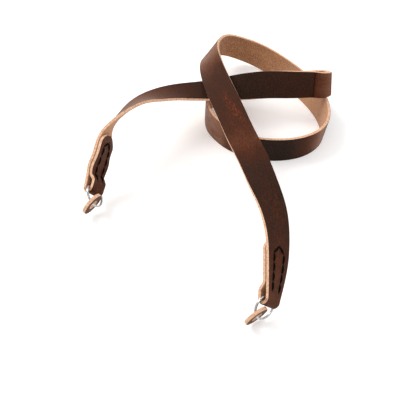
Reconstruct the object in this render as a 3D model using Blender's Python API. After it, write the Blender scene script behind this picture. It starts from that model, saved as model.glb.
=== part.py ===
"""Leather camera neck strap, lying loose on a flat surface.

One strip of leather stands on its edge in two loops.  Each end is folded back on
its rough side round a split ring and sewn there.  A round leather guard hangs on
each ring and keeps it off what it is fastened to.

Metres, +Z up, the surface at z = 0.
"""
import math

import bmesh
import bpy
import numpy as np

MM = 0.001

# Driving dimensions of the strip
STRAP_WIDTH = 20.0 * MM
STRAP_THICKNESS = 2.4 * MM
EDGE_ROUNDING = 0.35 * MM

# How far the loose loops spread over the surface
SPREAD_ACROSS = 172.0 * MM
SPREAD_DEEP = 252.0 * MM

# The sewn ends
TAIL_LENGTH = 39.0 * MM
NOSE_LENGTH = 7.5 * MM
FOLD_WIDTH = 12.5 * MM
TAPER_LENGTH = 30.0 * MM
TAPER_FULLNESS = 0.6
LAYER_GAP = 0.3 * MM

# The split rings, wide enough to swing round the folded ends
RING_OVERHANG = 4.5 * MM
RING_WIRE_RADIAL = 1.2 * MM
RING_WIRE_AXIAL = 1.6 * MM
RING_CLEARANCE = 0.35 * MM
RING_DIAMETER = FOLD_WIDTH + RING_OVERHANG
RING_RADIUS = (RING_DIAMETER - RING_WIRE_RADIAL) / 2.0

# How a ring seats: its near arc spans the fold from edge to edge, bulging inwards
SEAT_REACH = math.sqrt(RING_RADIUS ** 2 - (FOLD_WIDTH / 2.0) ** 2)
SEAT_BULGE = RING_RADIUS - SEAT_REACH

# The pockets that hold the rings, closing behind them to the sewn layers
POCKET_CLEARANCE = 1.0 * MM
POCKET_SPARE = 0.8 * MM
POCKET_ROOM = RING_WIRE_AXIAL + 2.0 * POCKET_CLEARANCE
POCKET_STRAIGHT = SEAT_BULGE + RING_WIRE_RADIAL / 2.0 + POCKET_SPARE
POCKET_CLOSING = 6.0 * MM

# The leather guards, loose on the rings
GUARD_DIAMETER = 16.5 * MM
GUARD_THICKNESS = 2.4 * MM
GUARD_PLAY = 5.2 * MM
GUARD_HOLE = RING_WIRE_AXIAL + GUARD_PLAY
GUARD_ROUNDING = 0.4 * MM

# How finely the shapes are divided
STEP = 4.6 * MM
FOLD_STEPS = 8
NOSE_ANGLES = (20.0, 40.0, 58.0, 74.0, 90.0)
NOSE_TIP_SHARE = 0.02
RING_SIDES = 26
WIRE_SIDES = 6
GUARD_SIDES = 30
ROUTE_SAMPLES = 3000

# Colours, roughness and metallic value of the materials
STRAP_LEATHER = ((0.075, 0.030, 0.018), 0.5, 0.0)
GUARD_LEATHER = ((0.095, 0.040, 0.024), 0.5, 0.0)
RING_METAL = ((0.82, 0.82, 0.84), 0.18, 1.0)

# The route of the strip's middle line, from the right ring to the left one.
# across and deep are shares of the spread, height is a share of the strap's
# width, and roll is in degrees: 0 stands on edge, 90 lies with the smooth side up.
ROUTE_COLUMNS = ("across", "deep", "height", "roll")
ROUTE = (
    # Right end, climbing off its ring
    (0.204, -0.532, 0.78, 146),
    (0.217, -0.479, 1.16, 144),
    (0.225, -0.408, 1.69, 134),
    (0.209, -0.319, 2.14, 112),
    # The long band that crosses over both loops
    (0.181, -0.249, 2.27, 98),
    (0.147, -0.154, 2.25, 87),
    (0.101, -0.035, 2.09, 80),
    (0.058, 0.090, 1.91, 73),
    (0.016, 0.205, 1.76, 63),
    # The far bend
    (-0.014, 0.309, 1.61, 50),
    (-0.020, 0.395, 1.45, 37),
    (0.009, 0.453, 1.22, 22),
    (0.058, 0.487, 0.98, 8),
    (0.120, 0.493, 0.76, -4),
    # The back of the big loop, coming down on its edge
    (0.194, 0.478, 0.60, -12),
    (0.270, 0.440, 0.50, -17),
    (0.342, 0.383, 0.475, -21),
    (0.407, 0.317, 0.47, -23),
    (0.453, 0.251, 0.47, -20),
    # Right bend and front of the low loop
    (0.472, 0.189, 0.485, -14),
    (0.465, 0.134, 0.49, -11),
    (0.431, 0.091, 0.495, -9),
    (0.378, 0.063, 0.495, -5),
    (0.316, 0.048, 0.495, -2),
    (0.246, 0.044, 0.495, 0),
    (0.177, 0.050, 0.495, 0),
    (0.112, 0.068, 0.495, 1),
    (0.053, 0.096, 0.495, 2),
    # Left bend of the low loop
    (0.008, 0.133, 0.495, 3),
    (-0.023, 0.173, 0.495, 4),
    (-0.033, 0.214, 0.495, 3),
    (-0.029, 0.254, 0.50, 1),
    (-0.003, 0.284, 0.55, -3),
    # The back run, climbing behind the band in front of it
    (0.048, 0.297, 0.67, -6),
    (0.122, 0.294, 0.87, -9),
    (0.208, 0.281, 1.08, -12),
    (0.294, 0.266, 1.26, -14),
    (0.373, 0.2525, 1.39, -18),
    (0.430, 0.2505, 1.455, -15),
    # The tight turn
    (0.467, 0.2505, 1.48, -8),
    (0.4925, 0.244, 1.495, 3),
    (0.468, 0.236, 1.505, 13),
    (0.430, 0.2375, 1.51, 17),
    # The front run, rolling over from standing to lying
    (0.373, 0.239, 1.50, 22),
    (0.305, 0.241, 1.475, 30),
    (0.234, 0.244, 1.445, 38),
    (0.161, 0.245, 1.38, 50),
    (0.089, 0.244, 1.30, 63),
    (0.019, 0.242, 1.225, 77),
    (-0.052, 0.231, 1.28, 87),
    (-0.124, 0.212, 1.43, 91),
    (-0.194, 0.186, 1.62, 98),
    (-0.261, 0.154, 1.78, 107),
    # The half twist and the left end
    (-0.320, 0.116, 1.91, 122),
    (-0.370, 0.071, 1.94, 137),
    (-0.405, 0.031, 1.92, 152),
    (-0.425, 0.003, 1.82, 170),
    (-0.450, -0.033, 1.60, 185),
    (-0.466, -0.065, 1.31, 187),
    (-0.482, -0.088, 0.97, 193),
    (-0.498, -0.126, 0.62, 205),
)

# How each ring swings in its pocket and how its guard hangs on it, in degrees:
# swing turns the ring towards the tail, along is measured round the ring from its
# far point, azimuth and dip say where the guard's face looks.
END_COLUMNS = ("side", "swing", "along", "azimuth", "dip")
ENDS = (
    ("right", 24.0, 28.0, -52.0, -21.0),
    ("left", 20.0, 26.0, -38.0, -20.0),
)


def unit(vector):
    return vector / np.linalg.norm(vector)


def smooth_step(value):
    value = min(max(value, 0.0), 1.0)
    return value * value * (3.0 - 2.0 * value)


def spline(knots, values, at):
    """Natural cubic spline through the values at the knots, read at the places."""
    count = len(knots)
    gaps = np.diff(knots)
    system = np.zeros((count, count))
    target = np.zeros((count, values.shape[1]))
    system[0, 0] = system[-1, -1] = 1.0
    slopes = np.diff(values, axis=0) / gaps[:, None]
    for row in range(1, count - 1):
        system[row, row - 1] = gaps[row - 1]
        system[row, row] = 2.0 * (gaps[row - 1] + gaps[row])
        system[row, row + 1] = gaps[row]
        target[row] = 6.0 * (slopes[row] - slopes[row - 1])
    bends = np.linalg.solve(system, target)
    span = np.clip(np.searchsorted(knots, at, side="right") - 1, 0, count - 2)
    left = at - knots[span]
    right = knots[span + 1] - at
    width = gaps[span]
    first, second = bends[span], bends[span + 1]
    return (
        (first * right[:, None] ** 3 + second * left[:, None] ** 3) / (6.0 * width[:, None])
        + (values[span] / width[:, None] - first * width[:, None] / 6.0) * right[:, None]
        + (values[span + 1] / width[:, None] - second * width[:, None] / 6.0) * left[:, None]
    )


class Route:
    """The strip's middle line with the direction across it and off its smooth side."""

    def __init__(self):
        rows = [dict(zip(ROUTE_COLUMNS, row)) for row in ROUTE]
        points = np.array([
            (row["across"] * SPREAD_ACROSS, row["deep"] * SPREAD_DEEP, row["height"] * STRAP_WIDTH)
            for row in rows
        ])
        rolls = np.radians([row["roll"] for row in rows])
        chords = np.linalg.norm(np.diff(points, axis=0), axis=1)
        knots = np.concatenate(([0.0], np.cumsum(chords)))
        at = np.linspace(0.0, knots[-1], ROUTE_SAMPLES)
        table = spline(knots, np.column_stack((points, rolls)), at)
        self.points = table[:, :3]
        self.rolls = table[:, 3]
        steps = np.linalg.norm(np.diff(self.points, axis=0), axis=1)
        self.lengths = np.concatenate(([0.0], np.cumsum(steps)))
        self.total = self.lengths[-1]
        self.stations = np.interp(knots, at, self.lengths)
        slopes = np.gradient(self.points, self.lengths, axis=0)
        self.directions = slopes / np.linalg.norm(slopes, axis=1)[:, None]

    def read(self, table, length):
        return np.array([np.interp(length, self.lengths, column) for column in table.T])

    def frame(self, length):
        """Middle point, forward, across towards the upper edge, and off the smooth side."""
        point = self.read(self.points, length)
        forward = unit(self.read(self.directions, length))
        roll = float(np.interp(length, self.lengths, self.rolls))
        up = np.array((0.0, 0.0, 1.0))
        upright = unit(up - forward * forward[2])
        sideways = np.cross(forward, upright)
        across = math.cos(roll) * upright + math.sin(roll) * sideways
        return point, forward, across, np.cross(across, forward)


def width_at(distance):
    """The strip's width at a distance from its fold, tapering towards it."""
    share = smooth_step(distance / TAPER_LENGTH) ** TAPER_FULLNESS
    return FOLD_WIDTH + (STRAP_WIDTH - FOLD_WIDTH) * share


def nose_share(distance):
    """How much of the width the rounded nose of a tail still has."""
    left = max(TAIL_LENGTH - distance, NOSE_TIP_SHARE * NOSE_LENGTH)
    if left >= NOSE_LENGTH:
        return 1.0
    return math.sqrt(1.0 - (1.0 - left / NOSE_LENGTH) ** 2)


def layer_distance(distance):
    """Middle to middle of strip and tail: sewn tight, and open round the ring."""
    tight = STRAP_THICKNESS + LAYER_GAP
    loose = STRAP_THICKNESS + POCKET_ROOM
    return loose + (tight - loose) * smooth_step((distance - POCKET_STRAIGHT) / POCKET_CLOSING)


def tail_places():
    """Distances from the fold at which the tail has a section."""
    places = [0.0]
    closing = POCKET_STRAIGHT + POCKET_CLOSING
    places += [POCKET_STRAIGHT * 0.5, POCKET_STRAIGHT]
    places += [POCKET_STRAIGHT + POCKET_CLOSING * share for share in (0.25, 0.5, 0.75, 1.0)]
    nose = TAIL_LENGTH - NOSE_LENGTH
    count = max(2, round((nose - closing) / STEP))
    places += [closing + (nose - closing) * step / count for step in range(1, count + 1)]
    places += [nose + NOSE_LENGTH * math.sin(math.radians(angle)) for angle in NOSE_ANGLES]
    return places


def tail_sections(route, start, sign):
    """Sections of the tail from the fold to its nose, lying on the strip's rough side."""
    places = tail_places()
    centres, acrosses, offs = [], [], []
    for distance in places:
        point, _, across, off = route.frame(start + sign * distance)
        centres.append(point - off * layer_distance(distance))
        acrosses.append(across)
        offs.append(off)
    forwards = np.gradient(np.array(centres), np.array(places), axis=0)
    sections = []
    for distance, centre, across, off, forward in zip(places, centres, acrosses, offs, forwards):
        thick = np.cross(across, unit(forward))
        thick = unit(thick if thick @ off < 0.0 else -thick)
        sections.append((centre, across, thick, width_at(distance) * nose_share(distance)))
    return sections


def fold_sections(route, start, sign):
    """Sections round the half turn, from the strip to the tail."""
    point, forward, across, off = route.frame(start)
    outward = -sign * forward
    radius = layer_distance(0.0) / 2.0
    centre = point - off * radius
    sections = []
    for step in range(1, FOLD_STEPS):
        angle = math.pi * step / FOLD_STEPS
        thick = off * math.cos(angle) + outward * math.sin(angle)
        sections.append((centre + thick * radius, across, thick, FOLD_WIDTH))
    return sections


def strip_sections(route):
    """Sections of the strip itself, closer together where the rows are."""
    places = []
    for first, second in zip(route.stations, route.stations[1:]):
        count = max(2, round((second - first) / STEP))
        places += list(np.linspace(first, second, count, endpoint=False))
    places.append(route.total)
    sections = []
    for length in places:
        point, _, across, off = route.frame(length)
        width = width_at(min(length, route.total - length))
        sections.append((point, across, off, width))
    return sections


def section_ring(section):
    """Eight corners of the strip's cross-section, its edges slightly rounded."""
    centre, across, thick, width = section
    half = width / 2.0
    deep = STRAP_THICKNESS / 2.0
    cut = EDGE_ROUNDING
    corners = (
        (half - cut, deep), (half, deep - cut), (half, cut - deep), (half - cut, -deep),
        (cut - half, -deep), (-half, cut - deep), (-half, deep - cut), (cut - half, deep),
    )
    ring = [centre + across * side + thick * rise for side, rise in corners]
    return [(point[0], point[1], max(point[2], 0.0)) for point in ring]


def link_rings(mesh, rings, closed):
    """Skin a row of rings of points with quads, capping both ends of an open row."""
    loops = [[mesh.verts.new(point) for point in ring] for ring in rings]
    sides = len(loops[0])
    pairs = list(zip(loops, loops[1:]))
    if closed:
        pairs.append((loops[-1], loops[0]))
    for first, second in pairs:
        for side in range(sides):
            following = (side + 1) % sides
            mesh.faces.new((first[side], first[following], second[following], second[side]))
    if not closed:
        mesh.faces.new(list(reversed(loops[0])))
        mesh.faces.new(loops[-1])
    bmesh.ops.recalc_face_normals(mesh, faces=mesh.faces)


def make_object(name, rings, closed, material, sharp_degrees):
    mesh = bmesh.new()
    link_rings(mesh, rings, closed)
    bmesh.ops.triangulate(mesh, faces=mesh.faces)
    data = bpy.data.meshes.new(name)
    mesh.to_mesh(data)
    mesh.free()
    data.materials.append(material)
    data.shade_smooth()
    data.set_sharp_from_angle(angle=math.radians(sharp_degrees))
    made = bpy.data.objects.new(name, data)
    bpy.context.scene.collection.objects.link(made)
    return made


def make_material(name, colour, roughness, metallic):
    material = bpy.data.materials.new(name)
    material.use_nodes = True
    shader = material.node_tree.nodes["Principled BSDF"]
    shader.inputs["Base Color"].default_value = (*colour, 1.0)
    shader.inputs["Roughness"].default_value = roughness
    shader.inputs["Metallic"].default_value = metallic
    material.diffuse_color = (*colour, 1.0)
    return material


def make_strap(route, leather):
    right_tail = tail_sections(route, 0.0, 1.0)
    left_tail = tail_sections(route, route.total, -1.0)
    sections = list(reversed(right_tail))
    sections += list(reversed(fold_sections(route, 0.0, 1.0)))
    sections += strip_sections(route)
    sections += fold_sections(route, route.total, -1.0)
    sections += left_tail
    return make_object("strap", [section_ring(section) for section in sections], False, leather, 40)


def ring_frame(route, start, sign, swing):
    """Centre of a split ring, swung towards the tail, its near arc in the pocket."""
    point, forward, across, off = route.frame(start)
    outward = -sign * forward
    reaching = outward * math.cos(swing) - off * math.sin(swing)
    facing = off * math.cos(swing) + outward * math.sin(swing)
    pocket = point - off * (layer_distance(0.0) + math.sin(swing) * SEAT_BULGE) / 2.0
    return pocket + reaching * SEAT_REACH, reaching, across, facing


def make_ring(name, frame, metal):
    centre, reaching, across, facing = frame
    rings = []
    for step in range(RING_SIDES):
        angle = 2.0 * math.pi * step / RING_SIDES
        radial = reaching * math.cos(angle) + across * math.sin(angle)
        wire = []
        for side in range(WIRE_SIDES):
            turn = 2.0 * math.pi * side / WIRE_SIDES
            wire.append(
                centre + radial * (RING_RADIUS + math.cos(turn) * RING_WIRE_RADIAL / 2.0)
                + facing * math.sin(turn) * RING_WIRE_AXIAL / 2.0
            )
        rings.append(wire)
    return make_object(name, rings, True, metal, 50)


def make_guard(name, frame, row, leather):
    """A flat round guard threaded on the ring, hanging from it by the edge of its hole."""
    centre, reaching, across, _ = frame
    along, azimuth, dip = (math.radians(row[name]) for name in ("along", "azimuth", "dip"))
    middle = centre + RING_RADIUS * (reaching * math.cos(along) - across * math.sin(along))
    face = np.array((
        math.cos(dip) * math.cos(azimuth), math.cos(dip) * math.sin(azimuth), math.sin(dip),
    ))
    level = unit(np.cross((0.0, 0.0, 1.0), face))
    steep = np.cross(face, level)
    wire = reaching * math.sin(along) + across * math.cos(along)
    lean = math.acos(min(1.0, abs(float(wire @ face))))
    taken = RING_WIRE_AXIAL / 2.0 / math.cos(lean) + GUARD_THICKNESS / 2.0 * math.tan(lean)
    middle -= steep * max(0.0, GUARD_HOLE / 2.0 - taken - RING_CLEARANCE)
    outer = GUARD_DIAMETER / 2.0
    inner = GUARD_HOLE / 2.0
    deep = GUARD_THICKNESS / 2.0
    profile = (
        (inner, deep), (outer - GUARD_ROUNDING, deep), (outer, deep - GUARD_ROUNDING),
        (outer, GUARD_ROUNDING - deep), (outer - GUARD_ROUNDING, -deep), (inner, -deep),
    )
    rings = []
    for step in range(GUARD_SIDES):
        angle = 2.0 * math.pi * step / GUARD_SIDES
        radial = level * math.cos(angle) + steep * math.sin(angle)
        rings.append([middle + radial * reach + face * rise for reach, rise in profile])
    return make_object(name, rings, True, leather, 40)


def centre_on_surface(made):
    """Put the middle of everything over the origin, its lowest point at z = 0."""
    points = np.array([vertex.co for item in made for vertex in item.data.vertices])
    low, high = points.min(axis=0), points.max(axis=0)
    shift = np.array(((low[0] + high[0]) / 2.0, (low[1] + high[1]) / 2.0, low[2]))
    for item in made:
        for vertex in item.data.vertices:
            vertex.co = np.array(vertex.co) - shift


def build():
    for item in list(bpy.data.objects):
        bpy.data.objects.remove(item, do_unlink=True)
    leather = make_material("strap_leather", *STRAP_LEATHER)
    guard_leather = make_material("guard_leather", *GUARD_LEATHER)
    metal = make_material("ring_metal", *RING_METAL)
    route = Route()
    made = [make_strap(route, leather)]
    starts = {"right": (0.0, 1.0), "left": (route.total, -1.0)}
    for row in (dict(zip(END_COLUMNS, values)) for values in ENDS):
        side = row["side"]
        frame = ring_frame(route, *starts[side], math.radians(row["swing"]))
        made.append(make_ring("split_ring_" + side, frame, metal))
        made.append(make_guard("guard_disc_" + side, frame, row, guard_leather))
    centre_on_surface(made)


build()
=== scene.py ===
# %% [markdown]
# # A leather camera neck strap, lying loose on a table
#
# One long strip of dark brown leather stands on its edge in two loops. Each end is
# folded back round a split ring and sewn. The strip is cut and shaped flat, as a
# leather worker does it, and is then laid along the route that the model takes.

# %%
import math

import bpy
import numpy as np
from mathutils import Matrix, Vector


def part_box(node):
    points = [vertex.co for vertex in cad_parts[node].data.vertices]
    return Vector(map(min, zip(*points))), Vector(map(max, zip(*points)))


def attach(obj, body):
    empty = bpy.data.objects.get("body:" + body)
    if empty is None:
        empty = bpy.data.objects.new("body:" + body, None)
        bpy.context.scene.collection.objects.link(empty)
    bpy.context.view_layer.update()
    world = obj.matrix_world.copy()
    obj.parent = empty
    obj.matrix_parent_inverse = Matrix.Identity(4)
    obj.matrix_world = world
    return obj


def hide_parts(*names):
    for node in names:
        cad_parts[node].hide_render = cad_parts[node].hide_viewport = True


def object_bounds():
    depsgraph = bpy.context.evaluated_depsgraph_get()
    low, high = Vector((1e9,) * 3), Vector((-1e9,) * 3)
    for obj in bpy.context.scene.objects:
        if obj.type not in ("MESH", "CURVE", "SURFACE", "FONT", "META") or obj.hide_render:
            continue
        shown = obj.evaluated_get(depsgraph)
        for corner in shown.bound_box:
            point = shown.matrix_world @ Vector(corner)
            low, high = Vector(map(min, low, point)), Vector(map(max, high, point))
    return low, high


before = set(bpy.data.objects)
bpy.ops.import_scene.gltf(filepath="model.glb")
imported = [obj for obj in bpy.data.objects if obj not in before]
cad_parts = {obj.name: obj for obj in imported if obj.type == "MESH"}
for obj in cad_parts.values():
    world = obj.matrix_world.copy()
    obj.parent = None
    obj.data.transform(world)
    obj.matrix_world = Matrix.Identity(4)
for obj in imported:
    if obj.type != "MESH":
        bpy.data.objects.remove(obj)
cad_low, cad_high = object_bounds()
cad_size = [round(value * 1000, 1) for value in cad_high - cad_low]
print("the fixed model measures", cad_size, "mm and has", len(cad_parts), "nodes")

# %% [markdown]
# ## Camera
#
# The photograph looks down on the strap at 45 degrees from three quarters of a
# metre. A long lens keeps the far bend nearly as wide as the near ends. The camera
# is placed by its target and its distance, because both are easy to reason about.

# %%
MM = 0.001
CAMERA_TARGET = Vector((-3.35, -27.30, 0.0)) * MM
CAMERA_ELEVATION = math.radians(45.0)
CAMERA_DISTANCE = 0.750
CAMERA_LENS = 94.07

bpy.ops.object.camera_add()
camera = bpy.context.object
camera.name = "camera"
back = Vector((0.0, -math.cos(CAMERA_ELEVATION), math.sin(CAMERA_ELEVATION)))
camera.location = CAMERA_TARGET + back * CAMERA_DISTANCE
camera.rotation_euler = (-back).to_track_quat("-Z", "Y").to_euler()
camera.data.lens = CAMERA_LENS
bpy.context.scene.camera = camera
print("camera at", [round(value, 3) for value in camera.location])

# %% [markdown]
# ## Table and light
#
# The photograph has a pure white ground with hardly a shadow. A wide pale plane takes
# its place, lit from all sides by a bright world. One large soft lamp from the upper
# left gives the bends their sheen, and a weaker one from the right fills the dark faces.

# %%
LAMP_AIM = Vector((0.0, 0.0, 0.02))
WORLD_STRENGTH = 0.80
TABLE_SIZE = 6.0


def lamp(name, place, size, power, colour):
    """A square soft lamp that points at the strap."""
    bpy.ops.object.light_add(type="AREA", location=place)
    made = bpy.context.object
    made.name = name
    made.data.size = size
    made.data.energy = power
    made.data.color = colour
    made.rotation_euler = (LAMP_AIM - Vector(place)).to_track_quat("-Z", "Y").to_euler()


lamp("window", (-0.70, 0.35, 0.85), size=0.60, power=9.0, colour=(1.0, 0.96, 0.91))
lamp("fill", (0.80, -0.20, 0.80), size=0.90, power=3.0, colour=(1.0, 0.98, 0.96))

world = bpy.data.worlds.new("studio")
world.use_nodes = True
sky = world.node_tree.nodes["Background"]
sky.inputs["Color"].default_value = (1.0, 1.0, 1.0, 1.0)
sky.inputs["Strength"].default_value = WORLD_STRENGTH
bpy.context.scene.world = world
bpy.context.scene.view_settings.view_transform = "Standard"

bpy.ops.mesh.primitive_plane_add(size=TABLE_SIZE, location=(0.0, 0.0, 0.0))
floor = bpy.context.object
floor.name = "table"
print("lamps and table are in place")

# %% [markdown]
# ## Tools for the finishes
#
# Every finish is built from a few nodes. These helpers keep each one short: a finish
# starts with its shader, and each tool adds one node and gives back what it puts out.

# %%
def srgb(red, green, blue):
    """A colour as the screen shows it, 0 to 255, as Blender's linear colour."""
    def linear(value):
        value /= 255.0
        return value / 12.92 if value <= 0.04045 else ((value + 0.055) / 1.055) ** 2.4
    return (linear(red), linear(green), linear(blue), 1.0)


def grey(value):
    return (value, value, value, 1.0)


class Finish:
    """A material under construction."""

    def __init__(self, name, roughness, metallic=0.0):
        self.material = bpy.data.materials.new(name)
        self.material.use_nodes = True
        self.tree = self.material.node_tree
        self.shader = self.tree.nodes["Principled BSDF"]
        self.shader.inputs["Roughness"].default_value = roughness
        self.shader.inputs["Metallic"].default_value = metallic

    def add(self, kind, inputs=None, **settings):
        node = self.tree.nodes.new(kind)
        for key, value in settings.items():
            setattr(node, key, value)
        for key, value in (inputs or {}).items():
            if isinstance(value, bpy.types.NodeSocket):
                self.tree.links.new(value, node.inputs[key])
            else:
                node.inputs[key].default_value = value
        return node

    def place(self):
        """Place on the object, in metres."""
        return self.add("ShaderNodeTexCoord").outputs["Object"]

    def flat(self, stretch=(1.0, 1.0, 1.0)):
        """Place on the flat leather in millimetres, along and across, stretched."""
        place = self.add("ShaderNodeUVMap", uv_map="flat").outputs["UV"]
        return self.add("ShaderNodeMapping", {"Vector": place, "Scale": stretch}).outputs["Vector"]

    def noise(self, place, scale, detail=3.0, roughness=0.5, distortion=0.0):
        node = self.add("ShaderNodeTexNoise", {
            "Vector": place,
            "Scale": scale,
            "Detail": detail,
            "Roughness": roughness,
            "Distortion": distortion,
        })
        return node.outputs["Fac"]

    def ramp(self, value, *stops):
        """Turn a value into a colour by stops of position and colour."""
        node = self.add("ShaderNodeValToRGB", {"Fac": value})
        steps = node.color_ramp.elements
        while len(steps) < len(stops):
            steps.new(0.5)
        for step, (position, colour) in zip(steps, stops):
            step.position = position
            step.color = colour
        return node.outputs["Color"]

    def mask(self, value, low, high):
        """0 up to the low value, 1 from the high one on, and soft in between."""
        limits = {"Value": value, "From Min": low, "From Max": high}
        node = self.add("ShaderNodeMapRange", limits, interpolation_type="SMOOTHSTEP")
        return node.outputs["Result"]

    def math(self, operation, first, second):
        return self.add("ShaderNodeMath", {0: first, 1: second}, operation=operation).outputs["Value"]

    def times(self, first, second):
        return self.math("MULTIPLY", first, second)

    def attribute(self, name):
        return self.add("ShaderNodeAttribute", attribute_name=name).outputs["Fac"]

    def mix(self, mask, first, second):
        """The first colour, turned into the second one where the mask is 1."""
        return self.add("ShaderNodeMix", {0: mask, 6: first, 7: second}, data_type="RGBA").outputs[2]

    def wire(self, socket, value):
        self.tree.links.new(value, self.shader.inputs[socket])

    def bump(self, *layers):
        """Layers of height, strength and depth in metres, the coarsest first."""
        normal = None
        for height, strength, depth in layers:
            inputs = {"Height": height, "Strength": strength, "Distance": depth}
            if normal is not None:
                inputs["Normal"] = normal
            normal = self.add("ShaderNodeBump", inputs).outputs["Normal"]
        self.wire("Normal", normal)


print("finish tools ready")

# %% [markdown]
# ## Tools for shaping
#
# Several steps need one piece to be the only selected one, its faces turned outwards,
# or a flat sheet thickened and its cut edges eased. Each corner's place on the flat
# leather is kept as a UV map, and values such as wear and painted light are kept on the
# vertices, so the finishes can follow the leather.

# %%
SHARP_ANGLE = math.radians(60.0)
SMOOTH_ANGLE = math.radians(35.0)
EASING_STEPS = 3


def pick(piece):
    """Make one piece the only selected one and the active one."""
    bpy.ops.object.select_all(action="DESELECT")
    piece.select_set(True)
    bpy.context.view_layer.objects.active = piece


def face_outwards():
    """Turn the faces of the active piece outwards."""
    bpy.ops.object.mode_set(mode="EDIT")
    bpy.ops.mesh.select_all(action="SELECT")
    bpy.ops.mesh.normals_make_consistent(inside=False)
    bpy.ops.object.mode_set(mode="OBJECT")


def thicken_and_ease(piece, thickness, easing):
    """Give the active flat sheet its thickness and round its cut edges."""
    thicken = piece.modifiers.new("thicken", "SOLIDIFY")
    thicken.thickness = thickness
    thicken.offset = 0.0
    bpy.ops.object.modifier_apply(modifier=thicken.name)
    bpy.ops.object.mode_set(mode="EDIT")
    bpy.ops.mesh.select_all(action="DESELECT")
    bpy.ops.mesh.edges_select_sharp(sharpness=SHARP_ANGLE)
    bpy.ops.mesh.bevel(offset=easing, segments=EASING_STEPS, profile=0.5)
    bpy.ops.object.mode_set(mode="OBJECT")
    face_outwards()


def map_flat(mesh, places):
    """Keep each corner's place on the flat leather, in millimetres, as its UV."""
    layer = mesh.uv_layers.new(name="flat")
    corners = np.zeros(len(mesh.loops), dtype=int)
    mesh.loops.foreach_get("vertex_index", corners)
    layer.data.foreach_set("uv", (places[corners, :2] / MM).ravel())


def store(mesh, name, values):
    """Keep one value for each vertex."""
    layer = mesh.attributes.new(name, "FLOAT", "POINT")
    layer.data.foreach_set("value", values.astype(np.float32))


print("shaping tools ready")

# %% [markdown]
# ## Table finish
#
# The ground is plain, almost white and matt, and glows a little like a light table, so
# the shadows stay faint. A faint unevenness keeps it from looking like a painted
# backdrop.

# %%
TABLE_GLOW = 0.22

table = Finish("table_white", 0.9)
unevenness = table.noise(table.place(), 3.0)
table.wire("Base Color", table.ramp(unevenness, (0.3, grey(0.88)), (0.7, grey(0.91))))
table.shader.inputs["Emission Color"].default_value = grey(1.0)
table.shader.inputs["Emission Strength"].default_value = TABLE_GLOW
floor.data.materials.append(table.material)
print("table painted")

# %% [markdown]
# ## The route of the strip
#
# The strip's middle line runs from the right ring to the left one through a table of
# places: across and deep are shares of the spread, height is a share of the strap's
# width, and roll is in degrees. Roll 0 stands on edge and 90 lies with the smooth
# side up. A smooth curve through the places keeps the leather free of kinks. The same
# sizes make the fixed model, so the strip ends up where that one is.

# %%
STRAP_WIDTH = 20.0 * MM
STRAP_THICKNESS = 2.4 * MM
SPREAD_ACROSS = 172.0 * MM
SPREAD_DEEP = 252.0 * MM
TAIL_LENGTH = 39.0 * MM
NOSE_LENGTH = 7.5 * MM
FOLD_WIDTH = 12.5 * MM
TAPER_LENGTH = 30.0 * MM
TAPER_FULLNESS = 0.6
LAYER_GAP = 0.3 * MM
RING_OVERHANG = 4.5 * MM
RING_WIRE_RADIAL = 1.2 * MM
RING_WIRE_AXIAL = 1.6 * MM
RING_CLEARANCE = 0.35 * MM
RING_RADIUS = (FOLD_WIDTH + RING_OVERHANG - RING_WIRE_RADIAL) / 2.0
SEAT_REACH = math.sqrt(RING_RADIUS ** 2 - (FOLD_WIDTH / 2.0) ** 2)
SEAT_BULGE = RING_RADIUS - SEAT_REACH
POCKET_CLEARANCE = 1.0 * MM
POCKET_SPARE = 0.8 * MM
POCKET_ROOM = RING_WIRE_AXIAL + 2.0 * POCKET_CLEARANCE
POCKET_STRAIGHT = SEAT_BULGE + RING_WIRE_RADIAL / 2.0 + POCKET_SPARE
POCKET_CLOSING = 6.0 * MM
ROUTE_SAMPLES = 3000

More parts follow.
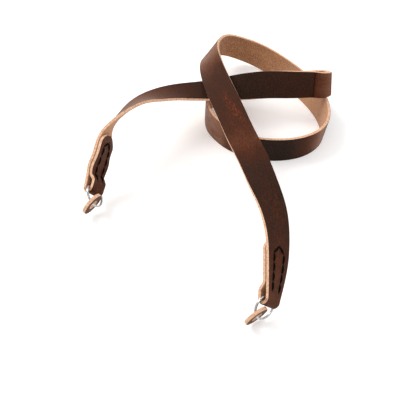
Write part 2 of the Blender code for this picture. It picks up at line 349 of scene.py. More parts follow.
ROUTE = (
    # Right end, climbing off its ring
    (0.204, -0.532, 0.78, 146),
    (0.217, -0.479, 1.16, 144),
    (0.225, -0.408, 1.69, 134),
    (0.209, -0.319, 2.14, 112),
    # The long band that crosses over both loops
    (0.181, -0.249, 2.27, 98),
    (0.147, -0.154, 2.25, 87),
    (0.101, -0.035, 2.09, 80),
    (0.058, 0.090, 1.91, 73),
    (0.016, 0.205, 1.76, 63),
    # The far bend
    (-0.014, 0.309, 1.61, 50),
    (-0.020, 0.395, 1.45, 37),
    (0.009, 0.453, 1.22, 22),
    (0.058, 0.487, 0.98, 8),
    (0.120, 0.493, 0.76, -4),
    # The back of the big loop, coming down on its edge
    (0.194, 0.478, 0.60, -12),
    (0.270, 0.440, 0.50, -17),
    (0.342, 0.383, 0.475, -21),
    (0.407, 0.317, 0.47, -23),
    (0.453, 0.251, 0.47, -20),
    # Right bend and front of the low loop
    (0.472, 0.189, 0.485, -14),
    (0.465, 0.134, 0.49, -11),
    (0.431, 0.091, 0.495, -9),
    (0.378, 0.063, 0.495, -5),
    (0.316, 0.048, 0.495, -2),
    (0.246, 0.044, 0.495, 0),
    (0.177, 0.050, 0.495, 0),
    (0.112, 0.068, 0.495, 1),
    (0.053, 0.096, 0.495, 2),
    # Left bend of the low loop
    (0.008, 0.133, 0.495, 3),
    (-0.023, 0.173, 0.495, 4),
    (-0.033, 0.214, 0.495, 3),
    (-0.029, 0.254, 0.50, 1),
    (-0.003, 0.284, 0.55, -3),
    # The back run, climbing behind the band in front of it
    (0.048, 0.297, 0.67, -6),
    (0.122, 0.294, 0.87, -9),
    (0.208, 0.281, 1.08, -12),
    (0.294, 0.266, 1.26, -14),
    (0.373, 0.2525, 1.39, -18),
    (0.430, 0.2505, 1.455, -15),
    # The tight turn
    (0.467, 0.2505, 1.48, -8),
    (0.4925, 0.244, 1.495, 3),
    (0.468, 0.236, 1.505, 13),
    (0.430, 0.2375, 1.51, 17),
    # The front run, rolling over from standing to lying
    (0.373, 0.239, 1.50, 22),
    (0.305, 0.241, 1.475, 30),
    (0.234, 0.244, 1.445, 38),
    (0.161, 0.245, 1.38, 50),
    (0.089, 0.244, 1.30, 63),
    (0.019, 0.242, 1.225, 77),
    (-0.052, 0.231, 1.28, 87),
    (-0.124, 0.212, 1.43, 91),
    (-0.194, 0.186, 1.62, 98),
    (-0.261, 0.154, 1.78, 107),
    # The half twist and the left end
    (-0.320, 0.116, 1.91, 122),
    (-0.370, 0.071, 1.94, 137),
    (-0.405, 0.031, 1.92, 152),
    (-0.425, 0.003, 1.82, 170),
    (-0.450, -0.033, 1.60, 185),
    (-0.466, -0.065, 1.31, 187),
    (-0.482, -0.088, 0.97, 193),
    (-0.498, -0.126, 0.62, 205),
)


def rows_unit(vectors):
    return vectors / np.linalg.norm(vectors, axis=-1, keepdims=True)


def smooth_step(value):
    value = np.clip(value, 0.0, 1.0)
    return value * value * (3.0 - 2.0 * value)


def spline(knots, values, at):
    """Natural cubic spline through the values at the knots, read at the places."""
    count = len(knots)
    gaps = np.diff(knots)
    system = np.zeros((count, count))
    target = np.zeros((count, values.shape[1]))
    system[0, 0] = system[-1, -1] = 1.0
    slopes = np.diff(values, axis=0) / gaps[:, None]
    for row in range(1, count - 1):
        system[row, row - 1] = gaps[row - 1]
        system[row, row] = 2.0 * (gaps[row - 1] + gaps[row])
        system[row, row + 1] = gaps[row]
        target[row] = 6.0 * (slopes[row] - slopes[row - 1])
    bends = np.linalg.solve(system, target)
    span = np.clip(np.searchsorted(knots, at, side="right") - 1, 0, count - 2)
    left, right, width = at - knots[span], knots[span + 1] - at, gaps[span]
    first, second = bends[span], bends[span + 1]
    return (
        (first * right[:, None] ** 3 + second * left[:, None] ** 3) / (6.0 * width[:, None])
        + (values[span] / width[:, None] - first * width[:, None] / 6.0) * right[:, None]
        + (values[span + 1] / width[:, None] - second * width[:, None] / 6.0) * left[:, None]
    )


route_rows = np.array(ROUTE, dtype=float)
route_knots = route_rows[:, :3] * (SPREAD_ACROSS, SPREAD_DEEP, STRAP_WIDTH)
chords = np.linalg.norm(np.diff(route_knots, axis=0), axis=1)
knots = np.concatenate(([0.0], np.cumsum(chords)))
samples = np.linspace(0.0, knots[-1], ROUTE_SAMPLES)
sampled = spline(knots, np.column_stack((route_knots, np.radians(route_rows[:, 3]))), samples)
route_points, route_rolls = sampled[:, :3], sampled[:, 3]
steps = np.linalg.norm(np.diff(route_points, axis=0), axis=1)
route_lengths = np.concatenate(([0.0], np.cumsum(steps)))
STRIP_LENGTH = route_lengths[-1]
route_directions = rows_unit(np.gradient(route_points, route_lengths, axis=0))
print("the strip is", round(STRIP_LENGTH * 1000), "mm long from fold to fold")

# %% [markdown]
# ## Laying the flat strip
#
# A place on the flat strip has three numbers: how far along, how far across and how
# far above the middle of the leather. Between the folds it follows the route. Past an
# end it goes round the half turn of the fold and back along the tail, which lies on
# the strip's rough side and opens a little to hold the ring.

# %%
SLOPE_STEP = 0.1 * MM   # how far apart two places are for the slope between them
RIM_SAMPLES = 1200


def read_route(table, lengths):
    """Rows of a table of the route, read between its samples."""
    return np.stack([np.interp(lengths, route_lengths, column) for column in table.T], axis=1)


def route_frames(lengths):
    """Middle points, forwards, acrosses and offs of the route."""
    points = read_route(route_points, lengths)
    forwards = rows_unit(read_route(route_directions, lengths))
    rolls = np.interp(lengths, route_lengths, route_rolls)[:, None]
    uprights = rows_unit(np.array((0.0, 0.0, 1.0)) - forwards * forwards[:, 2:])
    acrosses = np.cos(rolls) * uprights + np.sin(rolls) * np.cross(forwards, uprights)
    return points, forwards, acrosses, np.cross(acrosses, forwards)


def layer_distance(distances):
    """Middle to middle of strip and tail: sewn tight, and open round the ring."""
    tight, loose = STRAP_THICKNESS + LAYER_GAP, STRAP_THICKNESS + POCKET_ROOM
    return loose + (tight - loose) * smooth_step((distances - POCKET_STRAIGHT) / POCKET_CLOSING)


def width_at(distances):
    """The strip's width at a distance from its fold, tapering towards it."""
    share = smooth_step(distances / TAPER_LENGTH) ** TAPER_FULLNESS
    return FOLD_WIDTH + (STRAP_WIDTH - FOLD_WIDTH) * share


FOLD_RADIUS = float(layer_distance(np.array(0.0))) / 2.0
FOLD_ARC = math.pi * FOLD_RADIUS


def lay_end(beyond, across, above, start, sign):
    """Places past one end: round the fold, then back along the tail."""
    _, forward, sideways, off = (table[0] for table in route_frames(np.array([start])))
    point = read_route(route_points, np.array([start]))[0]
    angle = np.clip(beyond / FOLD_RADIUS, 0.0, math.pi)[:, None]
    thick = off * np.cos(angle) - sign * forward * np.sin(angle)
    folded = point - off * FOLD_RADIUS + thick * (FOLD_RADIUS + above[:, None]) + sideways * across[:, None]
    back = np.maximum(beyond - FOLD_ARC, 0.0)
    points, forwards, acrosses, offs = route_frames(start + sign * back)
    apart = layer_distance(back)[:, None]
    slope = (layer_distance(back + SLOPE_STEP) - layer_distance(back))[:, None] / SLOPE_STEP
    outer = rows_unit(-offs - sign * forwards * slope)
    tail = points - offs * apart + outer * above[:, None] + acrosses * across[:, None]
    return np.where(beyond[:, None] < FOLD_ARC, folded, tail)


def lay(flat):
    """Places on the flat strip, n by 3 in metres, as places over the table."""
    flat = np.asarray(flat, dtype=float)
    along, across, above = flat.T
    points, _, acrosses, offs = route_frames(np.clip(along, 0.0, STRIP_LENGTH))
    laid = points + acrosses * across[:, None] + offs * above[:, None]
    right, left = along < 0.0, along > STRIP_LENGTH
    if right.any():
        laid[right] = lay_end(-along[right], across[right], above[right], 0.0, 1.0)
    if left.any():
        laid[left] = lay_end(along[left] - STRIP_LENGTH, across[left], above[left], STRIP_LENGTH, -1.0)
    return laid


strip_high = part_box("strap")[1]
rim = [
    (distance, side * STRAP_WIDTH / 2.0, lift * STRAP_THICKNESS / 2.0)
    for distance in np.linspace(TAIL_LENGTH * 0.5, STRIP_LENGTH - TAIL_LENGTH * 0.5, RIM_SAMPLES)
    for side in (-1.0, 1.0)
    for lift in (-1.0, 1.0)
]
rim_places = lay(rim)
SHIFT = np.array((
    strip_high[0] - rim_places[:, 0].max(),
    strip_high[1] - rim_places[:, 1].max(),
    0.0,
))


def on_table(flat):
    """Laid places in the model's frame, flattened where they would sink into the table."""
    places = lay(flat) + SHIFT
    places[:, 2] = np.maximum(places[:, 2], 0.0)
    return places


print("the route is shifted by", [round(float(value) * 1000, 2) for value in SHIFT], "mm")

# %% [markdown]
# ## Cutting the strip flat
#
# The blank is a long grid, as wide as the strap, with closer columns at both ends
# where the noses, the folds and the stitches are. Its outline is trimmed to the
# tapers and the round noses, and it is then thickened and its cut edges are eased.

# %%
STITCH_PITCH = 6.1 * MM
STITCH_FIRST = 5.0 * MM
STITCH_ROWS = 5
STITCH_INSET = 0.47
ARCH_RISE = 4.8 * MM
DIMPLE_DEPTH = 0.55 * MM
DIMPLE_SIZE = 0.8 * MM
GROOVE_DEPTH = 0.12 * MM
GROOVE_SIZE = 0.7 * MM
CREASE_DEPTH = 0.30 * MM
CREASE_SIZE = 0.8 * MM
ROWS_ACROSS = 22
FINE_STEP = 0.85 * MM
COARSE_STEP = 1.7 * MM
NOSE_COLUMNS = 12
FOLD_COLUMNS = 18
NOSE_TIP = 0.015        # share of the nose's length at which its round tip is cut off
SEWN_LENGTH = TAIL_LENGTH + 2.0 * MM
EDGE_EASING = 0.45 * MM


def stitch_holes():
    """Distance from the fold and place across of each hole, along one line, up and down."""
    up = [STITCH_FIRST + STITCH_PITCH * row for row in range(STITCH_ROWS)]
    line = [(distance, STITCH_INSET * float(width_at(distance)) / 2.0) for distance in up]
    peak = (up[-1] + ARCH_RISE, 0.0)
    return line + [peak] + [(distance, -across) for distance, across in reversed(line)]


def columns():
    """Where the blank's columns lie, from the right nose to the left one."""
    nose = [
        TAIL_LENGTH - NOSE_LENGTH * (1.0 - math.sin(math.radians(90.0 * step / NOSE_COLUMNS)))
        for step in range(NOSE_COLUMNS + 1)
    ]
    inner = int((TAIL_LENGTH - NOSE_LENGTH) / FINE_STEP)
    tail = list(np.linspace(0.0, TAIL_LENGTH - NOSE_LENGTH, inner, endpoint=False)) + nose
    fold = list(np.linspace(0.0, FOLD_ARC, FOLD_COLUMNS, endpoint=False))
    right = [-(FOLD_ARC + distance) for distance in reversed(tail)]
    right += [-distance for distance in reversed(fold)][:-1]
    right += list(np.linspace(0.0, SEWN_LENGTH, int(SEWN_LENGTH / FINE_STEP), endpoint=False))
    count = int((STRIP_LENGTH - 2.0 * SEWN_LENGTH) / COARSE_STEP)
    middle = list(np.linspace(SEWN_LENGTH, STRIP_LENGTH - SEWN_LENGTH, count))
    left = [STRIP_LENGTH - distance for distance in reversed(right)]
    return np.array(right + middle + left)


def trimmed_width(along):
    """Width of the blank after trimming: tapered to each fold, round at each nose."""
    beyond = np.maximum(-along, along - STRIP_LENGTH)
    inward = np.minimum(along, STRIP_LENGTH - along)
    distance = np.where(beyond > 0.0, np.maximum(beyond - FOLD_ARC, 0.0), inward)
    left = np.clip((TAIL_LENGTH + FOLD_ARC - beyond) / NOSE_LENGTH, NOSE_TIP, 1.0)
    round_nose = np.where(beyond > 0.0, np.sqrt(1.0 - (1.0 - left) ** 2), 1.0)
    return width_at(distance) * round_nose


places_along = columns()
bpy.ops.mesh.primitive_grid_add(
    x_subdivisions=len(places_along) - 1, y_subdivisions=ROWS_ACROSS, size=1.0,
)
strip = bpy.context.object
strip.name = "strap_leather_strip"
blank = np.array([vertex.co for vertex in strip.data.vertices])
column = np.rint((blank[:, 0] + 0.5) * (len(places_along) - 1)).astype(int)
blank[:, 0] = places_along[column]
blank[:, 1] *= trimmed_width(blank[:, 0])
strip.data.vertices.foreach_set("co", blank.ravel())
strip.data.update()
print("blank of", len(places_along), "columns, from", round(blank[0, 0] * 1000, 1), "mm")

# %%
pick(strip)
thicken_and_ease(strip, STRAP_THICKNESS, EDGE_EASING)
print("strip thickened and its edges eased:", len(strip.data.polygons), "faces")

# %% [markdown]
# ## Marks in the leather
#
# The thread pulls the leather in at each hole and sinks a shallow groove between the
# holes, on the outer faces of both layers. One crease crosses the raised band near
# its tight turn. They are pressed into the mesh while it is still flat.

# %%
CREASE_ALONG = 645.0 * MM
FACE_TILT = 0.6         # a face that looks up or down by at least this much isn't an edge
TOP_SHARE = 0.45        # share of the thickness over the middle where the smooth face starts

flat_places = np.array([vertex.co for vertex in strip.data.vertices])
facing_up = np.array([polygon.normal[2] for polygon in strip.data.polygons])
sides = np.where(facing_up > FACE_TILT, 0, np.where(facing_up < -FACE_TILT, 1, 2))
map_flat(strip.data, flat_places)


def segment_distance(points, first, second):
    """Distance in the plane from points to the stretch between two places."""
    first, second = np.array(first), np.array(second)
    way = second - first
    share = np.clip((points - first) @ way / (way @ way), 0.0, 1.0)
    return np.linalg.norm(points - first - share[:, None] * way, axis=1)


along, across, above = flat_places.T
smooth_face = above > STRAP_THICKNESS * TOP_SHARE
sunk = np.zeros(len(along))
holes = stitch_holes()
for end in ("strip", "tail"):
    for base, sign in ((0.0, 1.0), (STRIP_LENGTH, -1.0)):
        beyond = sign * (base - along)
        distance = -beyond if end == "strip" else beyond - FOLD_ARC
        here = np.column_stack((distance, across))
        near = smooth_face & (distance > 0.0) & (distance < SEWN_LENGTH)
        for first, second in zip(holes, holes[1:]):
            away = segment_distance(here, first, second)
            sunk += near * GROOVE_DEPTH * np.exp(-(away / GROOVE_SIZE) ** 2)
        for hole in holes:
            away = np.linalg.norm(here - np.array(hole), axis=1)
            sunk += near * DIMPLE_DEPTH * np.exp(-(away / DIMPLE_SIZE) ** 2)
sunk = np.minimum(sunk, DIMPLE_DEPTH + GROOVE_DEPTH)
sunk += smooth_face * CREASE_DEPTH * np.exp(-((along - CREASE_ALONG) / CREASE_SIZE) ** 2)
pressed = flat_places.copy()
pressed[:, 2] -= sunk
print("deepest mark", round(float(sunk.max()) * 1000, 2), "mm")

# %% [markdown]
# ## Tone, painted light and wear
#
# The smooth side's tone is given at places along the strip, from 0 for nearly black to
# 1 for pale. It is partly the leather's own colour and partly painted light: the darkest
# stops are painted shade on runs turned away from the lamps, and the palest are a
# painted sheen on the bends. A few rusty scuffs are added. A scuff is a place along and
# across in millimetres, its two sizes, and how strong it is. The rough side gets painted
# light in the same way, lighter where it faces the lamps. All are stored on the mesh,
# with how deep each mark is pressed, which the smooth side turns into painted shade.

# %%
TONE_SHADE_AND_SHEEN = (
    # along in millimetres, tone: painted shade at the dark stops, painted sheen at the pale ones
    (-70, 0.50), (0, 0.62), (20, 0.54), (45, 0.40), (70, 0.31), (95, 0.36), (125, 0.60),
    (150, 0.47), (205, 0.45), (222, 0.58), (240, 0.84), (262, 0.66), (300, 0.45),
    (380, 0.55), (405, 0.80), (417, 0.86), (430, 0.50), (445, 0.12), (470, 0.12),
    (484, 0.56), (494, 0.80), (500, 0.84), (509, 0.88), (520, 0.86), (536, 0.66), (570, 0.50),
    (618, 0.70), (634, 0.80), (639, 0.68), (644, 0.58), (646, 0.40), (674, 0.35),
    (692, 0.22), (715, 0.34), (736, 0.43), (760, 0.58), (782, 0.78), (800, 0.74),
    (830, 0.55), (940, 0.58),
)
SCUFFS = (
    # along, across, size along, size across, strength
    (176.0, 1.0, 8.0, 2.6, 0.6),
    (164.0, 3.0, 7.0, 2.0, 0.7),
    (153.0, 4.5, 7.0, 1.8, 0.6),
    (150.0, 0.0, 16.0, 7.0, 0.2),
    (122.0, -1.0, 16.0, 7.0, 0.3),
    (637.0, 0.0, 6.0, 9.0, 0.35),
    (60.0, 1.0, 20.0, 9.0, 0.2),
    (25.0, 0.0, 14.0, 5.0, 0.3),
)
SUEDE_PAINTED_LIGHT = (
    # along in millimetres, how much painted light lightens the rough side
    (-70, 0.5), (200, 0.0), (320, 0.1), (355, 0.6), (385, 0.8), (425, 0.75), (470, 0.3),
    (560, 0.2), (700, 0.5), (940, 0.6),
)


worn = np.zeros(len(along))
for centre, side, long, wide, strength in SCUFFS:
    reach = ((along / MM - centre) / long) ** 2 + ((across / MM - side) / wide) ** 2
    worn += strength * np.exp(-reach)
# The tone table paints shade on its dark stops and a sheen on its pale ones.
tone_shade_and_sheen = np.interp(along / MM, *np.array(TONE_SHADE_AND_SHEEN).T)
store(strip.data, "worn", np.clip(worn, 0.0, 1.0))
store(strip.data, "tone_shade_and_sheen", tone_shade_and_sheen)
store(strip.data, "suede_painted_light", np.interp(along / MM, *np.array(SUEDE_PAINTED_LIGHT).T))
# How deep each mark is pressed, which the smooth side darkens as painted shade.
store(strip.data, "pressed", np.clip(sunk / DIMPLE_DEPTH, 0.0, 1.0))

strip.data.vertices.foreach_set("co", on_table(pressed).ravel())
strip.data.update()
pick(strip)
face_outwards()
bpy.ops.object.shade_smooth_by_angle(angle=SMOOTH_ANGLE)
print("strip laid, its tone runs from", round(tone_shade_and_sheen.min(), 2), "to", round(tone_shade_and_sheen.max(), 2))

# %% [markdown]
# ## Leather finishes
#
# The smooth side is a dark, waxed brown that follows the stored tone, whose darkest part
# is painted shade and whose palest part is a painted sheen, with a little mottling, a
# fine pore grain and rusty streaks where it is worn. A thin line of painted shade that
# wanders a little marks the crease, and the pressed stitch marks are darkened with
# painted shade. The rough side is warm tan suede, speckled by its fibres and painted
# lighter where it faces the lamps. The cut edges are raw and paler still.

# %%
CREASE_SHADE_HALF_WIDTH = 0.65      # half the width of the line of painted shade in the crease, in millimetres
CREASE_WANDER = 2.4     # how far the line wanders along the strip, in millimetres
MOTTLING = 0.26         # how much the mottling changes the tone
GRAIN = 0.38            # how much the grain changes the tone
RAISED = 0.32           # what both together add to the tone, which is taken off again
SPECKLE = 0.14          # share of the paler pores
RUST = 0.75             # share of the rusty streaks where the leather is worn
PRESSED_SHADE = 0.6           # how dark the painted shade in a pressed mark is, beside the crease line
SHADE_SHARE = 0.8            # share of all painted shade, in the crease and the pressed marks
BLOTCHED = 0.14         # share of the paler blotches on the rough side
SUEDE_LIGHT_SHARE = 0.55            # share of the painted light on the rough side


def crease_shade_line(made):
    """A thin line of painted shade across the strip where it is creased."""
    along = made.add("ShaderNodeSeparateXYZ", {"Vector": made.flat()}).outputs["X"]
    wander = made.math("SUBTRACT", made.noise(made.flat((0.05, 1.0, 1.0)), 0.25, 3.0), 0.5)
    place = made.math("ADD", along, made.times(wander, CREASE_WANDER))
    off = made.math("ABSOLUTE", made.math("SUBTRACT", place, CREASE_ALONG / MM), 0.0)
    return made.math("SUBTRACT", 1.0, made.mask(off, CREASE_SHADE_HALF_WIDTH / 3.0, CREASE_SHADE_HALF_WIDTH))


def smooth_leather(name):
    made = Finish(name, 0.5)
    mottling = made.noise(made.flat((1.0, 1.6, 1.0)), 0.10, 4.0, 0.6, 0.6)
    grain = made.noise(made.flat((1.0, 1.4, 1.0)), 0.9, 4.0, 0.75)
    shift = made.math("ADD", made.times(mottling, MOTTLING), made.times(grain, GRAIN))
    tone_shade_and_sheen = made.math("ADD", made.attribute("tone_shade_and_sheen"), made.math("SUBTRACT", shift, RAISED))
    # The ramp runs from painted shade at its dark end to a painted sheen at its pale end.
    colour = made.ramp(
        tone_shade_and_sheen,
        (0.00, srgb(20, 16, 13)),
        (0.24, srgb(34, 20, 14)),
        (0.36, srgb(44, 25, 17)),
        (0.49, srgb(57, 26, 12)),
        (0.64, srgb(80, 44, 28)),
        (0.82, srgb(112, 76, 58)),
        (1.00, srgb(160, 124, 106)),
    )
    speckle = made.times(made.mask(grain, 0.44, 0.58), SPECKLE)
    colour = made.mix(speckle, colour, srgb(104, 76, 60))
    streaks = made.mask(made.noise(made.flat((0.25, 1.0, 1.0)), 0.9, 3.0, 0.6, 0.5), 0.47, 0.60)
    worn = made.times(made.attribute("worn"), streaks)
    colour = made.mix(made.times(worn, RUST), colour, srgb(132, 58, 26))
    # Painted shade: the crease line and the pressed stitch marks are darkened.
    painted_shade = made.math("MAXIMUM", crease_shade_line(made), made.times(made.attribute("pressed"), PRESSED_SHADE))
    colour = made.mix(made.times(painted_shade, SHADE_SHARE), colour, srgb(18, 11, 9))
    made.wire("Base Color", colour)
    cells = {"Vector": made.flat((1.0, 1.25, 1.0)), "Scale": 1.7}
    pores = made.add("ShaderNodeTexVoronoi", cells, feature="F1")
    pits = made.mask(pores.outputs["Distance"], 0.0, 0.45)
    wrinkles = made.noise(made.flat((2.2, 0.7, 1.0)), 0.55, 4.0, 0.6, 0.8)
    made.wire("Roughness", made.ramp(mottling, (0.25, grey(0.38)), (0.8, grey(0.52))))
    made.bump((wrinkles, 0.3, 0.10 * MM), (pits, 0.45, 0.05 * MM))
    made.shader.inputs["Specular IOR Level"].default_value = 0.05
    return made.material


def rough_leather(name, dark, light, lit_colour):
    made = Finish(name, 0.95)
    fibres = made.noise(made.flat(), 1.15, 3.0, 0.75, 0.3)
    patches = made.noise(made.flat((1.0, 1.5, 1.0)), 0.12, 3.0, 0.5)
    colour = made.ramp(fibres, (0.43, dark), (0.55, light))
    blotches = made.times(made.mask(patches, 0.4, 0.7), BLOTCHED)
    colour = made.mix(blotches, colour, srgb(206, 156, 114))
    # Painted light: the rough side turns towards the lit colour where it faces the lamps.
    colour = made.mix(made.times(made.attribute("suede_painted_light"), SUEDE_LIGHT_SHARE), colour, lit_colour)
    made.wire("Base Color", colour)
    made.bump((fibres, 0.9, 0.25 * MM))
    made.shader.inputs["Sheen Weight"].default_value = 0.10
    made.shader.inputs["Sheen Roughness"].default_value = 0.6
    made.shader.inputs["Specular IOR Level"].default_value = 0.15
    return made.material


def raw_edge(name):
    made = Finish(name, 0.85)
    layers = made.noise(made.place(), 900.0, 4.0, 0.6)
    colour = made.ramp(layers, (0.32, srgb(180, 134, 104)), (0.62, srgb(226, 186, 156)))
    made.wire("Base Color", colour)
    made.bump((layers, 0.6, 0.12 * MM))
    return made.material


def dress_leather(mesh, sides):
    """Give each face the leather of its side: 0 smooth, 1 rough, 2 cut edge."""
    for material in (smooth_side, rough_side, cut_edge):
        mesh.materials.append(material)
    mesh.polygons.foreach_set("material_index", sides.astype(np.int32))


smooth_side = smooth_leather("leather_smooth")
rough_side = rough_leather(
    "leather_suede", dark=srgb(104, 66, 41), light=srgb(172, 120, 82), lit_colour=srgb(212, 168, 136),
)
cut_edge = raw_edge("leather_raw_edge")
dress_leather(strip.data, sides)
strip.data.update()
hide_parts("strap")
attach(strip, "root")
print("strip finished with", len(strip.data.materials), "leathers")

# %% [markdown]
# ## Stitches
#
# A waxed thread runs up one side of each end, round the arch under the nose and down
# the other side, through both layers. It shows as a row of short bowed stitches on
# both faces, each of which dives into the hole at its two ends. They are drawn on the
# flat strip and laid with it, so they follow the leather whatever the route does.

# %%
THREAD_RADIUS = 0.66 * MM
THREAD_CROWN = 0.30 * MM
THREAD_DIVE = 0.55 * MM
STITCH_STEPS = 8
STITCH_FULLNESS = 0.6
HOLE_SHARE = 0.13


def thread_row(name, base, sign, on_tail):
    """One row of stitches as short tubes."""
    bpy.ops.curve.primitive_nurbs_path_add()
    row = bpy.context.object
    row.name = name
    row.data.splines.clear()
    for first, second in zip(holes, holes[1:]):
        placed = []
        for share in np.linspace(HOLE_SHARE, 1.0 - HOLE_SHARE, STITCH_STEPS + 1):
            swell = math.sin(math.pi * (share - HOLE_SHARE) / (1.0 - 2.0 * HOLE_SHARE))
            arch = max(0.0, swell) ** STITCH_FULLNESS
            height = STRAP_THICKNESS / 2.0 - THREAD_DIVE + (THREAD_DIVE + THREAD_CROWN) * arch
            distance = first[0] + (second[0] - first[0]) * share
            sideways = first[1] + (second[1] - first[1]) * share
            beyond = FOLD_ARC + distance if on_tail else -distance
            placed.append((base - sign * beyond, sideways, height))
        places = lay(placed) + SHIFT
        stitch = row.data.splines.new("NURBS")
        stitch.points.add(len(places) - 1)
        stitch.points.foreach_set("co", np.column_stack((places, np.ones(len(places)))).ravel())
        stitch.order_u = 3
        stitch.use_endpoint_u = True
    row.data.bevel_depth = THREAD_RADIUS
    row.data.bevel_resolution = 3
    row.data.resolution_u = 3
    row.data.use_fill_caps = True
    pick(row)
    bpy.ops.object.convert(target="MESH")
    bpy.ops.object.shade_smooth()
    return bpy.context.object


thread = Finish("thread_waxed", 0.75)
strands = thread.noise(thread.place(), 1600.0, 2.0, 0.5)
thread.wire("Base Color", thread.ramp(strands, (0.35, srgb(3, 3, 3)), (0.7, srgb(12, 12, 11))))
thread.bump((strands, 0.5, 0.08 * MM))
thread.shader.inputs["Specular IOR Level"].default_value = 0.05

for end, base, sign in (("right", 0.0, 1.0), ("left", STRIP_LENGTH, -1.0)):
    for face, on_tail in (("strip", False), ("tail", True)):
        row = thread_row("stitches_" + end + "_" + face, base, sign, on_tail)
        row.data.materials.append(thread.material)
        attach(row, "root")
        print(row.name, "has", len(row.data.polygons), "faces")

# %% [markdown]
# ## Split rings
#
# Each ring is a flattened wire wound twice round, so it opens like a key ring. The
# turns lie on each other, and the wire crosses from one to the other in a short step
# beside its two cut ends. The winding is drawn flat, swept with the wire's section,
# and then turned to where the fixed model's ring sits in its pocket.

# %%
WIRE_THICKNESS = 0.66 * MM
TURN_RISE = 0.70 * MM
CROSSING = math.radians(16.0)
CROSSING_AT = math.radians(150.0)
TURN_STEPS = 72
WIRE_ROUNDING = 0.28 * MM
WELD_GAP = 0.005 * MM
RING_SMOOTH_ANGLE = math.radians(40.0)
RING_SWINGS = {"right": math.radians(24.0), "left": math.radians(20.0)}


def end_frame(start, sign, swing):
    """Where a ring sits: swung towards the tail, its near arc in the pocket."""
    points, forwards, acrosses, offs = (table[0] for table in route_frames(np.array([start])))
    outward = -sign * forwards
    reaching = outward * math.cos(swing) - offs * math.sin(swing)
    facing = offs * math.cos(swing) + outward * math.sin(swing)
    pocket = points - offs * (2.0 * FOLD_RADIUS + math.sin(swing) * SEAT_BULGE) / 2.0
    placed = Matrix((reaching, acrosses, facing)).transposed().to_4x4()
    placed.translation = Vector(pocket + reaching * SEAT_REACH + SHIFT)
    return placed


def wound_ring(name):
    """A ring of wire wound flat round the origin."""
    bpy.ops.mesh.primitive_plane_add(size=1.0)
    section = bpy.context.object
    bpy.ops.transform.resize(value=(RING_WIRE_RADIAL, WIRE_THICKNESS, 1.0))
    bpy.ops.object.transform_apply(location=False, rotation=False, scale=True)
    bpy.ops.object.mode_set(mode="EDIT")
    bpy.ops.mesh.select_all(action="SELECT")
    bpy.ops.mesh.bevel(offset=WIRE_ROUNDING, segments=3, affect="VERTICES")
    bpy.ops.mesh.delete(type="ONLY_FACE")
    bpy.ops.object.mode_set(mode="OBJECT")
    bpy.ops.object.convert(target="CURVE")
    path = []
    whole = 2.0 * math.pi
    for angle in np.linspace(CROSSING, 2.0 * whole - CROSSING, 2 * TURN_STEPS):
        lift = float(smooth_step((angle - whole + CROSSING) / (2.0 * CROSSING))) - 0.5
        turn = angle + CROSSING_AT
        path.append((RING_RADIUS * math.cos(turn), RING_RADIUS * math.sin(turn), lift * TURN_RISE, 1.0))
    bpy.ops.curve.primitive_nurbs_path_add()
    ring = bpy.context.object
    ring.name = name
    ring.data.splines.clear()
    winding = ring.data.splines.new("POLY")
    winding.points.add(len(path) - 1)
    winding.points.foreach_set("co", np.array(path).ravel())
    ring.data.twist_mode = "Z_UP"
    ring.data.bevel_mode = "OBJECT"
    ring.data.bevel_object = section
    ring.data.use_fill_caps = True
    pick(ring)
    bpy.ops.object.convert(target="MESH")
    bpy.data.objects.remove(section)
    bpy.ops.object.mode_set(mode="EDIT")
    bpy.ops.mesh.select_all(action="SELECT")
    bpy.ops.mesh.remove_doubles(threshold=WELD_GAP)
    bpy.ops.object.mode_set(mode="OBJECT")
    face_outwards()
    bpy.ops.object.shade_smooth_by_angle(angle=RING_SMOOTH_ANGLE)
    return bpy.context.object


chrome = Finish("ring_chrome", 0.16, 1.0)
brushed = chrome.noise(chrome.place(), 700.0, 3.0, 0.6)
shine = chrome.ramp(brushed, (0.3, (0.40, 0.40, 0.41, 1.0)), (0.7, (0.66, 0.66, 0.67, 1.0)))
chrome.wire("Base Color", shine)
chrome.wire("Roughness", chrome.ramp(brushed, (0.3, grey(0.12)), (0.75, grey(0.26))))
chrome.bump((brushed, 0.12, 0.03 * MM))

ends = {
    "right": end_frame(0.0, 1.0, RING_SWINGS["right"]),
    "left": end_frame(STRIP_LENGTH, -1.0, RING_SWINGS["left"]),
}
for end, matrix in ends.items():
    ring = wound_ring("ring_" + end)
    ring.data.transform(matrix)
    ring.data.materials.append(chrome.material)
    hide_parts("split_ring_" + end)
    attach(ring, "root")
    print(ring.name, "wound from", len(ring.data.polygons), "faces")

# %% [markdown]
# ## Leather guards
#
# Each guard is punched from the same leather: a round washer with its smooth side
# out and a raw cut edge. It starts as a ring of edges that is drawn outwards into a
# flat washer, and it is then thickened and eased like the strip.

# %%
GUARD_DIAMETER = 16.5 * MM
GUARD_THICKNESS = 2.4 * MM
GUARD_PLAY = 5.2 * MM
GUARD_HOLE = RING_WIRE_AXIAL + GUARD_PLAY
GUARD_EASING = 0.4 * MM
GUARD_RINGS = 6
GUARD_CORNERS = 96
GUARD_SLACK = 0.05 * MM  # a face this near to the top or bottom still belongs to it
GUARDS = {
    # Place round the ring from its far point, and the way the face looks, in degrees
    "right": (28.0, -52.0, -21.0),
    "left": (26.0, -38.0, -20.0),
}


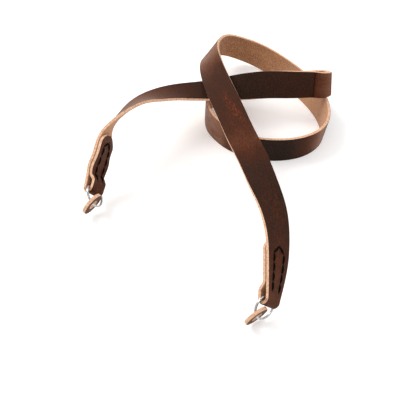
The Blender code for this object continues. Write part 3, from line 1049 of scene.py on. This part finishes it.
def guard_matrix(matrix, along_ring, azimuth, dip):
    """Where a guard hangs on its ring, resting on the edge of its hole."""
    outward, sideways, _, centre = (Vector(column_values[:3]) for column_values in matrix.transposed())
    turn, azimuth, dip = (math.radians(value) for value in (along_ring, azimuth, dip))
    middle = centre + RING_RADIUS * (outward * math.cos(turn) - sideways * math.sin(turn))
    face = Vector((math.cos(dip) * math.cos(azimuth), math.cos(dip) * math.sin(azimuth), math.sin(dip)))
    level = Vector((0.0, 0.0, 1.0)).cross(face).normalized()
    steep = face.cross(level)
    wire = outward * math.sin(turn) + sideways * math.cos(turn)
    lean = math.acos(min(1.0, abs(wire.dot(face))))
    taken = RING_WIRE_AXIAL / 2.0 / math.cos(lean) + GUARD_THICKNESS / 2.0 * math.tan(lean)
    middle -= steep * max(0.0, GUARD_HOLE / 2.0 - taken - RING_CLEARANCE)
    placed = Matrix((level, steep, face)).transposed().to_4x4()
    placed.translation = middle
    return placed


def punched_guard(name):
    """A flat round guard with its hole at the origin, thickened and eased."""
    bpy.ops.mesh.primitive_circle_add(vertices=GUARD_CORNERS, radius=GUARD_HOLE / 2.0)
    guard = bpy.context.object
    guard.name = name
    bpy.ops.object.mode_set(mode="EDIT")
    bpy.ops.mesh.select_all(action="SELECT")
    radii = np.linspace(GUARD_HOLE / 2.0, GUARD_DIAMETER / 2.0, GUARD_RINGS + 1)
    for before, after in zip(radii, radii[1:]):
        bpy.ops.mesh.extrude_region_move()
        bpy.ops.transform.resize(value=(after / before, after / before, 1.0))
    bpy.ops.object.mode_set(mode="OBJECT")
    thicken_and_ease(guard, GUARD_THICKNESS, GUARD_EASING)
    bpy.ops.object.shade_smooth_by_angle(angle=SMOOTH_ANGLE)
    return guard


for end, pose in GUARDS.items():
    guard = punched_guard("guard_" + end)
    mesh = guard.data
    heights = np.array([polygon.center[2] for polygon in mesh.polygons])
    inside = GUARD_THICKNESS / 2.0 - GUARD_SLACK
    map_flat(mesh, np.array([vertex.co for vertex in mesh.vertices]))
    dress_leather(mesh, np.where(heights > inside, 0, np.where(heights < -inside, 1, 2)))
    # Each guard gets one even tone, and its rough side a share of painted light.
    for name, value in (("worn", 0.0), ("pressed", 0.0), ("tone_shade_and_sheen", 0.58), ("suede_painted_light", 0.4)):
        store(mesh, name, np.full(len(mesh.vertices), value))
    mesh.transform(guard_matrix(ends[end], *pose))
    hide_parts("guard_disc_" + end)
    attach(guard, "root")
    print(guard.name, "punched from", len(mesh.polygons), "faces")
